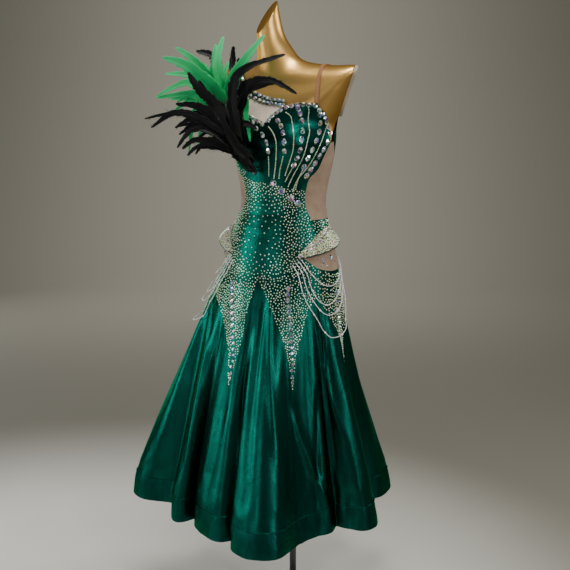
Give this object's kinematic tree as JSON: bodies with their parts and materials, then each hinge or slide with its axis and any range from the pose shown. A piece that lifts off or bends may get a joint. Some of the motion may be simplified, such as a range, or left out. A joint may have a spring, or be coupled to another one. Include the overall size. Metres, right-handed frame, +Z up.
{
  "type": "ballroom dance dress on a dress form",
  "caption": "Long flared ballroom dress with a jewelled sweetheart bodice, godet skirt, bead drapes and shoulder feathers, worn by a plain armless dress form on a pole stand.",
  "frame": {"origin": "centre of the stand base's underside, under the pole", "axes": "+Z up; the dress's front faces -Y and the wearer's left is +X"},
  "size_m": [0.7856, 0.7938, 1.8496],
  "materials": {
    "satin": "satin",
    "hem_band": "sheer satin",
    "nude_mesh": "matt mesh",
    "form_cover": "satin stretch cover",
    "arm_cap": "matt",
    "pole_paint": "satin black",
    "crystal": "faceted",
    "green_feather": "feather",
    "black_feather": "feather"
  },
  "bodies": {
    "root": {"front_panel": "satin", "back_panel": "satin", "left_hip_panel": "satin", "right_hip_panel": "satin", "left_hip_yoke": "satin", "right_hip_yoke": "satin", "left_hip_flap": "satin", "right_hip_flap": "satin", "neck_band": "satin", "godet_1": "satin", "godet_2": "satin", "godet_3": "satin", "godet_4": "satin", "godet_5": "satin", "godet_6": "satin", "hem_band_1": "hem_band", "hem_band_2": "hem_band", "hem_band_3": "hem_band", "hem_band_4": "hem_band", "hem_band_5": "hem_band", "hem_band_6": "hem_band", "left_side_mesh": "nude_mesh", "right_side_mesh": "nude_mesh", "left_hip_mesh": "nude_mesh", "right_hip_mesh": "nude_mesh", "chest_mesh": "nude_mesh", "left_strap": "nude_mesh", "form_torso": "form_cover", "form_arm_cap_left": "arm_cap", "form_arm_cap_right": "arm_cap", "form_pole": "pole_paint", "form_base": "pole_paint", "left_bead_strand_upper": "crystal", "left_bead_strand_second": "crystal", "left_bead_strand_third": "crystal", "left_bead_strand_lowest": "crystal", "right_bead_strand_upper": "crystal", "right_bead_strand_second": "crystal", "right_bead_strand_third": "crystal", "right_bead_strand_lowest": "crystal", "green_feathers": "green_feather", "black_feathers": "black_feather"}
  },
  "joints": []
}
